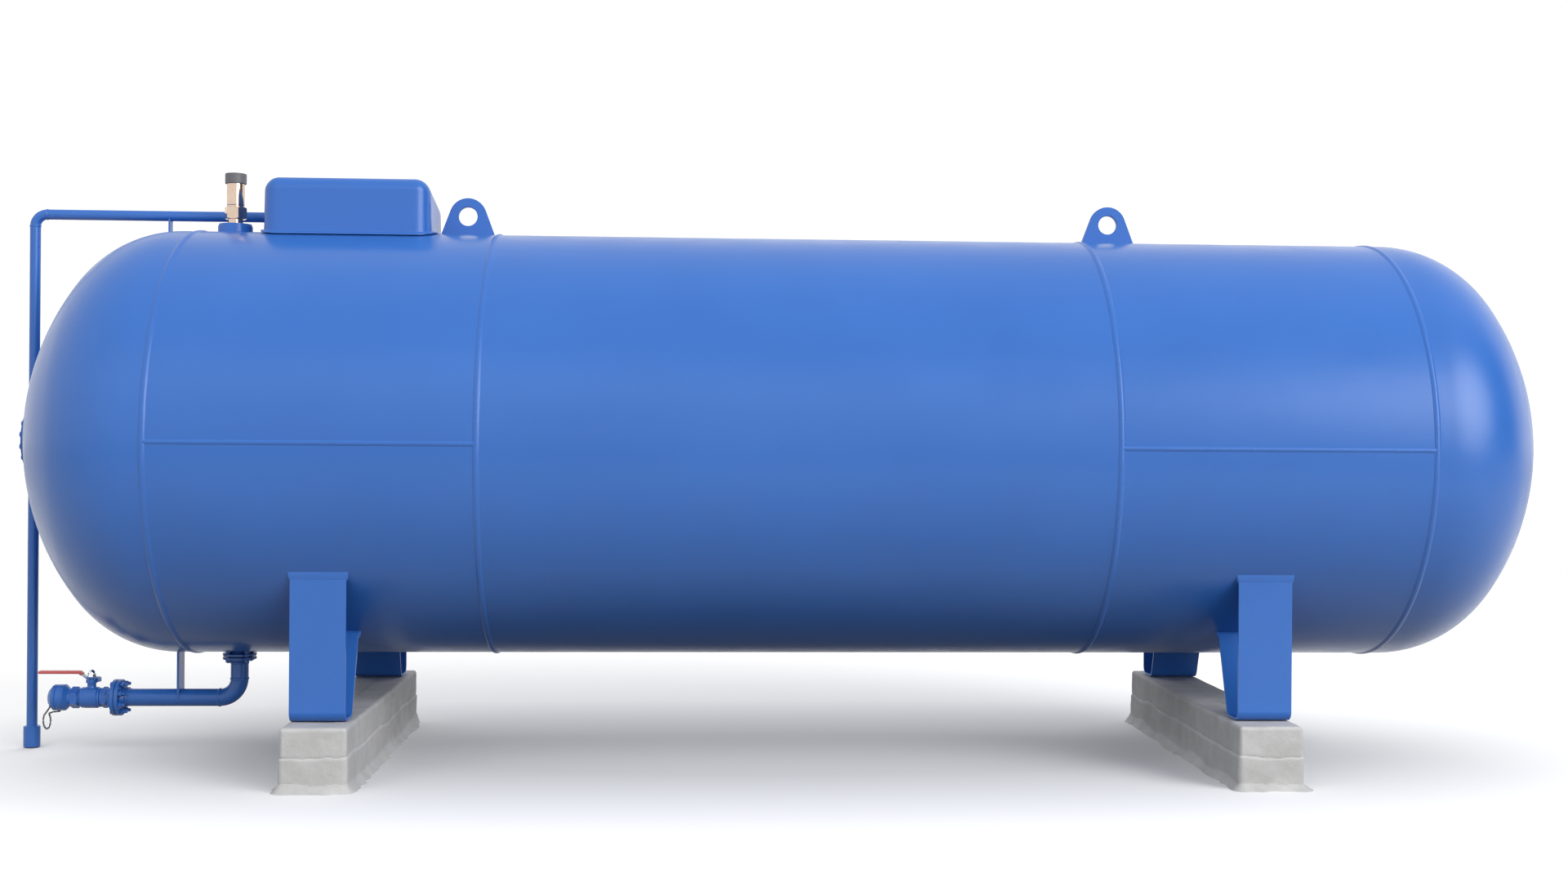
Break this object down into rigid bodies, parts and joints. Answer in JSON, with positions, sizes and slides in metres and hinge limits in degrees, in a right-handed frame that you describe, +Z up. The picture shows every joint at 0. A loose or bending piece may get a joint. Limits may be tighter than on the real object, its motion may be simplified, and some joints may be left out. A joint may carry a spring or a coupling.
{
  "type": "air receiver tank",
  "caption": "Horizontal welded air receiver with dished heads on bent-plate legs and concrete sleepers, with relief valve, hooded outlet and bottom drain valve.",
  "frame": {"origin": "centre of the whole object's plan, on the floor under the sleepers", "axes": "+X along the tank towards the plain head, away from the drain valve; +Z up; -Y is the side the drain lever opens towards"},
  "size_m": [4.5544, 1.257, 1.7375],
  "materials": {
    "blue_paint": "gloss",
    "concrete": "rough cast concrete",
    "nickel_brass": "polished nickel plate",
    "dark_plastic": "moulded",
    "red_grip": "dipped vinyl",
    "chrome": "polished",
    "zinc_steel": "zinc plated",
    "brass": "machined",
    "gasket_fibre": "matte",
    "white_dial": "matte",
    "black_needle": "matte",
    "clear_glass": "clear"
  },
  "bodies": {
    "vessel": {"shell_course_left": "blue_paint", "shell_course_middle": "blue_paint", "shell_course_right": "blue_paint", "head_left": "blue_paint", "head_right": "blue_paint", "leg_front_left": "blue_paint", "leg_front_right": "blue_paint", "leg_rear_left": "blue_paint", "leg_rear_right": "blue_paint", "lifting_lug_left": "blue_paint", "lifting_lug_right": "blue_paint", "relief_valve_boss": "blue_paint", "hood_hinge_bracket_left": "blue_paint", "hood_hinge_bracket_right": "blue_paint", "outlet_nozzle": "blue_paint", "outlet_pipe": "blue_paint", "outlet_pipe_coupling": "blue_paint", "pipe_support_upper": "blue_paint", "drain_nozzle": "blue_paint", "drain_pipe": "blue_paint", "pipe_support_lower": "blue_paint", "drain_valve_flange_end": "blue_paint", "drain_valve_body": "blue_paint", "drain_valve_hose_end": "blue_paint", "hose_coupling_ring": "blue_paint", "inspection_pad": "blue_paint", "inspection_cover": "blue_paint", "concrete_sleeper_left": "concrete", "concrete_sleeper_right": "concrete", "relief_valve_seat": "nickel_brass", "relief_valve_housing": "nickel_brass", "relief_valve_adjuster": "nickel_brass", "relief_valve_spring": "zinc_steel", "hood_hinge_pin": "zinc_steel", "gauge_case": "zinc_steel", "drain_cap_chain": "zinc_steel", "outlet_valve_body": "brass", "outlet_valve_bonnet": "brass", "gauge_cock": "brass", "drain_flange_gasket": "gasket_fibre", "valve_flange_gasket": "gasket_fibre", "inspection_gasket": "gasket_fibre", "gauge_dial": "white_dial", "ball_seat_left": "white_dial", "ball_seat_right": "white_dial", "gauge_glass": "clear_glass"},
    "hood": {"hood_cover": "blue_paint"},
    "drain_lever": {"drain_valve_lever": "zinc_steel", "drain_lever_grip": "red_grip", "drain_lever_nut": "chrome", "drain_valve_stem": "zinc_steel", "drain_valve_ball": "chrome"},
    "drain_cap": {"drain_cap": "blue_paint", "drain_cap_seal": "gasket_fibre"},
    "relief_cap": {"relief_valve_cap": "dark_plastic"},
    "relief_disc": {"relief_valve_disc": "zinc_steel"},
    "outlet_wheel": {"outlet_valve_handwheel": "red_grip", "outlet_valve_stem": "zinc_steel"},
    "outlet_disc": {"outlet_valve_disc": "brass"},
    "gauge_needle": {"gauge_needle": "black_needle"}
  },
  "joints": [
    {"name": "hood_hinge", "type": "hinge", "parent": "vessel", "child": "hood", "pos_m": [-1.26117, 0.166, 1.546], "axis": [-1, 0, 0], "range_deg": [0, 105]},
    {"name": "drain_lever_turn", "type": "hinge", "parent": "vessel", "child": "drain_lever", "pos_m": [-2.03466, 0, 0.2289], "axis": [0, 0, 1], "range_deg": [0, 90]},
    {"name": "drain_cap_pull", "type": "slide", "parent": "vessel", "child": "drain_cap", "axis": [-1, 0, 0], "range_m": [0, 0.04]},
    {"name": "relief_cap_lift", "type": "slide", "parent": "vessel", "child": "relief_cap", "axis": [0, 0, 1], "range_m": [0, 0.05]},
    {"name": "relief_disc_lift", "type": "slide", "parent": "vessel", "child": "relief_disc", "axis": [0, 0, 1], "range_m": [0, 0.004], "stiffness_N_per_m": 8000, "springref_m": -0.006, "deforming": ["relief_valve_spring"]},
    {"name": "outlet_wheel_turn", "type": "hinge", "parent": "vessel", "child": "outlet_wheel", "pos_m": [-1.31617, 0, 1.662], "axis": [0, 0, 1], "range_deg": [0, 1440]},
    {"name": "outlet_disc_lift", "type": "slide", "parent": "vessel", "child": "outlet_disc", "axis": [0, 0, 1], "range_m": [0, 0.0082]},
    {"name": "gauge_needle_turn", "type": "hinge", "parent": "vessel", "child": "gauge_needle", "pos_m": [-1.12617, 0, 1.625], "axis": [0, 1, 0], "range_deg": [0, 270], "stiffness_Nm_per_rad": 0.0005}
  ],
  "couplings": [
    {"joint": "outlet_disc_lift", "follows": "outlet_wheel_turn", "m_per_rad": 0.00031831}
  ]
}
